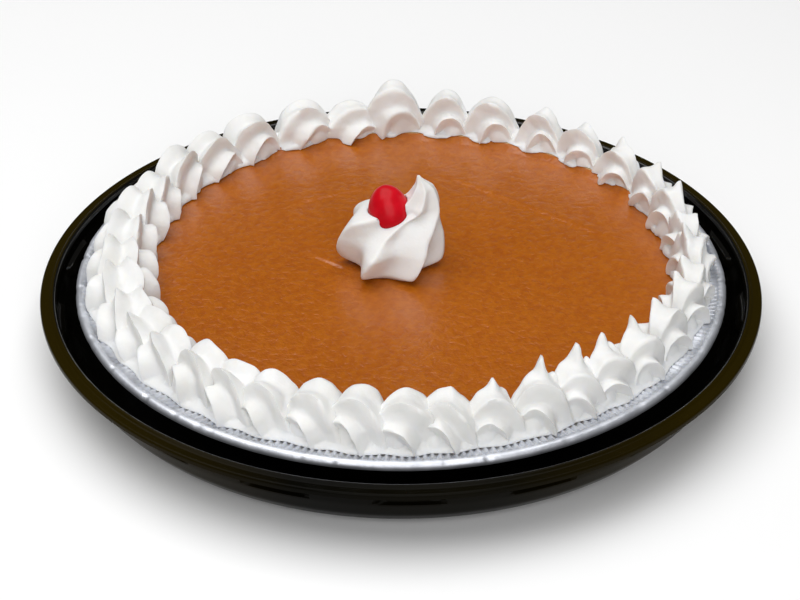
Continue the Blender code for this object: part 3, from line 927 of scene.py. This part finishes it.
def rosette_sections(around):
    """Level rings of the rosette: wide ridged lobes at the base, drawn up to a leaning peak on the right."""
    sections = []
    for height, radius, right, back, depth in spread_rows(ROSETTE_ROWS, ROSETTE_LEVELS):
        centre = ROSETTE_CENTRE + Vector((right, back, 0.0)) * ROSETTE_RADIUS + UP * height * ROSETTE_HEIGHT
        phase = ROSETTE_START + ROSETTE_TWIST * height
        shoulder = smooth(0.28, 0.46, height) * (1.0 - smooth(0.56, 0.70, height))
        ring = []
        for j in range(around):
            theta = math.tau * j / around
            left = max(0.0, math.cos(theta + phase - ROSETTE_LEFT)) ** 6 * shoulder
            notch = max(0.0, math.cos(theta + phase - ROSETTE_NOTCH)) ** 3 * shoulder
            swollen = radius + left * (ROSETTE_LEFT_FILL * max(0.0, 1.0 - radius) + right)
            swollen -= ROSETTE_NOTCH_DEPTH * notch
            size = ROSETTE_RADIUS * swollen * star(theta + phase, ROSETTE_FINS, depth, phase)
            point = centre + Vector((size * math.cos(theta + phase), size * math.sin(theta + phase), 0.0))
            push = wobble(point, *ROSETTE_ROUGHNESS, 5.0) * smooth(0.0, 0.08, height)
            ring.append(point + Vector((push.x, push.y, 0.0)))
        sections.append(ring)
    return sections


def cherry_profile(grow):
    half, radius = CHERRY_LENGTH / 2 + grow, CHERRY_DIAMETER / 2 + grow
    points = []
    for i in range(1, CHERRY_ROWS - 1):
        a = math.pi / 2 - math.pi * i / (CHERRY_ROWS - 1)
        taper = 1.0 - CHERRY_TAPER * math.sin(a) - CHERRY_FOOT_TAPER * smooth(0.0, 1.0, -math.sin(a))
        points.append((radius * taper * math.cos(a), half * math.sin(a)))
    return [(0.0, half)] + points + [(0.0, -half)]


def place_cherry(obj):
    obj.rotation_euler = CHERRY_LEAN
    obj.location = CHERRY_PLACE
    return obj


def make_rosette(material):
    rosette = loft("piped_rosette", None, rosette_sections(ROSETTE_AROUND))
    hollow = new_collection("hollow")
    place_cherry(revolve("cherry_hollow", cherry_profile(GAP), CHERRY_COLUMNS, None, hollow))
    combine(rosette, hollow, "DIFFERENCE")
    stand_for(keep_outer_skin(rosette), "cream_rosette", material, sharp=75)


def make_cherry():
    cherry = revolve("cherry_fruit", cherry_profile(0.0), CHERRY_COLUMNS)
    stand_for(place_cherry(cherry), "cherry", cherry_material())


# ---------------------------------------------------------------- studio


def make_studio():
    n = Nodes("studio_floor")
    n.join(n.ramp(n.noise(3.0, 2.0), [(0.3, grey(0.925)), (0.7, grey(0.935))]), n.shader.inputs["Base Color"])
    n.set(Roughness=0.9, Specular_IOR_Level=0.1)
    corners = [(x * FLOOR_HALF, y * FLOOR_HALF, 0) for x, y in ((-1, -1), (1, -1), (1, 1), (-1, 1))]
    floor = mesh_object("studio_ground", corners, [(0, 1, 2, 3)])
    floor.location.z = -FLOOR_DROP
    floor.data.materials.append(n.material)
    world = bpy.data.worlds.new("studio")
    bpy.context.scene.world = world
    world.use_nodes = True
    backdrop = world.node_tree.nodes["Background"]
    backdrop.inputs["Color"].default_value = (*ROOM, 1.0)
    backdrop.inputs["Strength"].default_value = WORLD_STRENGTH
    for name, place, size, power in LIGHTS:
        light = bpy.data.lights.new(name, "AREA")
        light.size = size
        light.energy = power
        lamp = bpy.data.objects.new(name, light)
        lamp.location = place
        lamp.rotation_euler = (TARGET - Vector(place)).to_track_quat("-Z", "Y").to_euler()
        bpy.context.scene.collection.objects.link(lamp)


def make_camera():
    camera = bpy.data.cameras.new("camera")
    camera.sensor_width = 36.0
    camera.lens = camera.sensor_width * FOCAL_PIXELS / IMAGE_WIDTH
    camera.shift_x = SHIFT_X_PIXELS / IMAGE_WIDTH
    camera.shift_y = SHIFT_Y_PIXELS / IMAGE_WIDTH
    obj = bpy.data.objects.new("camera", camera)
    away = Vector((0.0, -math.cos(ELEVATION), math.sin(ELEVATION)))
    obj.location = TARGET + away * DISTANCE
    obj.rotation_euler = (math.pi / 2 - ELEVATION, 0.0, 0.0)
    bpy.context.scene.collection.objects.link(obj)
    bpy.context.scene.camera = obj


make_camera()
make_studio()
make_tray()
make_pan()
make_filling()
CREAM = cream_material("whipped_cream")
make_border(CREAM)
make_rosette(CREAM)
make_cherry()
bpy.context.scene.view_settings.view_transform = "Standard"
